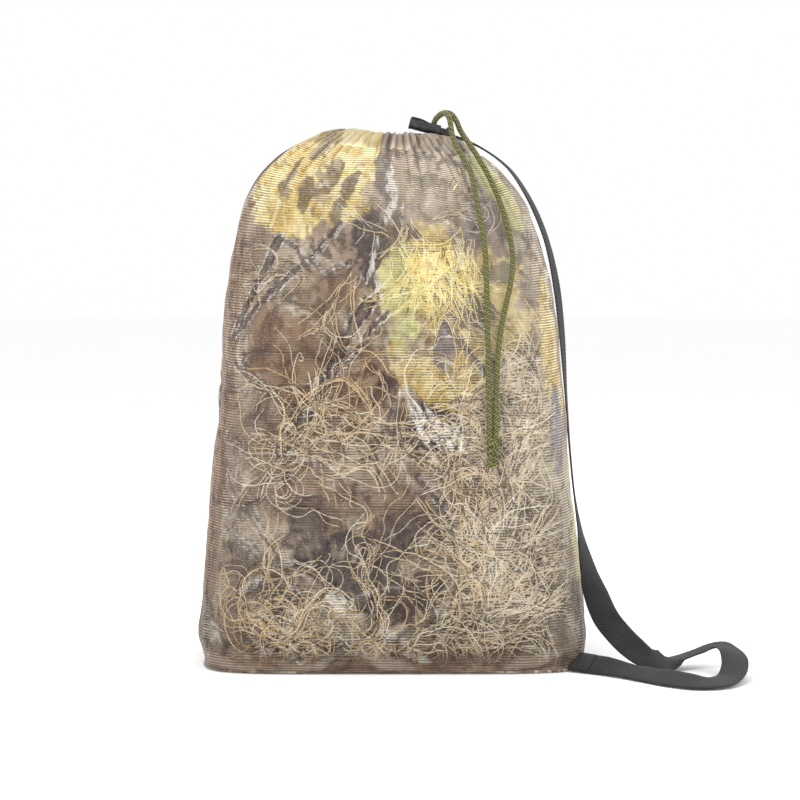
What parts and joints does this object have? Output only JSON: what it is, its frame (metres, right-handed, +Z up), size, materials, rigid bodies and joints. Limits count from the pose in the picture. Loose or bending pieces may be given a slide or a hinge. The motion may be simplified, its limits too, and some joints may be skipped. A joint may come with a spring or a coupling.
{
  "type": "ghillie suit",
  "caption": "Ghillie suit packed in its camouflage mesh drawstring bag, with thread tufts, a sprung cord lock on a braided drawcord and a webbing shoulder strap.",
  "frame": {"origin": "on the ground, under the middle of the bag", "axes": "+Z up to the gathered mouth, +X to the side that the strap is on as seen from the front, -Y to the front where the drawcord hangs"},
  "size_m": [0.4141, 0.2576, 0.4276],
  "materials": {
    "mesh_cloth": "sheer ribbed mesh with a leaf and twig camouflage print",
    "seam_tape": "turned and stitched seam of the same cloth",
    "leaf_cloth": "matt camouflage cloth of the packed clothes",
    "straw_thread": "loose curled straw-coloured thread",
    "gold_thread": "loose curled golden thread",
    "olive_cord": "round braid, olive with black diamonds",
    "black_plastic": "moulded, satin",
    "spring_steel": "bright wire",
    "webbing": "charcoal ribbed webbing"
  },
  "bodies": {
    "bag": {"bag_front_panel": "mesh_cloth", "bag_back_panel": "mesh_cloth", "bag_base_panel": "mesh_cloth", "side_seam_left": "seam_tape", "side_seam_right": "seam_tape", "mouth_casing": "mesh_cloth", "drawcord_loop": "olive_cord", "shoulder_strap": "webbing", "strap_end_top": "webbing", "strap_end_bottom": "webbing", "trousers_bundle": "leaf_cloth", "jacket_bundle": "leaf_cloth", "hood_bundle": "leaf_cloth", "rifle_wrap_bundle": "leaf_cloth", "trousers_tuft_left": "straw_thread", "trousers_tuft_middle": "straw_thread", "trousers_tuft_right": "straw_thread", "trousers_tuft_back": "straw_thread", "jacket_tuft_left": "straw_thread", "jacket_tuft_middle": "straw_thread", "jacket_tuft_right": "straw_thread", "jacket_tuft_back_left": "straw_thread", "jacket_tuft_back_right": "straw_thread", "hood_tuft_middle": "gold_thread", "hood_tuft_left": "straw_thread", "hood_tuft_top": "straw_thread", "rifle_wrap_tuft": "straw_thread"},
    "cord_lock": {"cord_lock_barrel": "black_plastic", "cord_lock_spring": "spring_steel", "drawcord_neck_a": "olive_cord", "drawcord_neck_b": "olive_cord", "drawcord_tail_a": "olive_cord", "drawcord_tail_b": "olive_cord", "drawcord_knot": "olive_cord"},
    "plunger": {"cord_lock_plunger": "black_plastic"}
  },
  "joints": [
    {"name": "drawcord_pull", "type": "slide", "parent": "bag", "child": "cord_lock", "axis": [0.2588, 0, 0.9659], "range_m": [0, 0.015]},
    {"name": "plunger_press", "type": "slide", "parent": "cord_lock", "child": "plunger", "axis": [-0.9659, 0, 0.2588], "range_m": [0, 0.004], "stiffness_N_per_m": 800, "springref_m": -0.003, "deforming": ["cord_lock_spring"]}
  ]
}
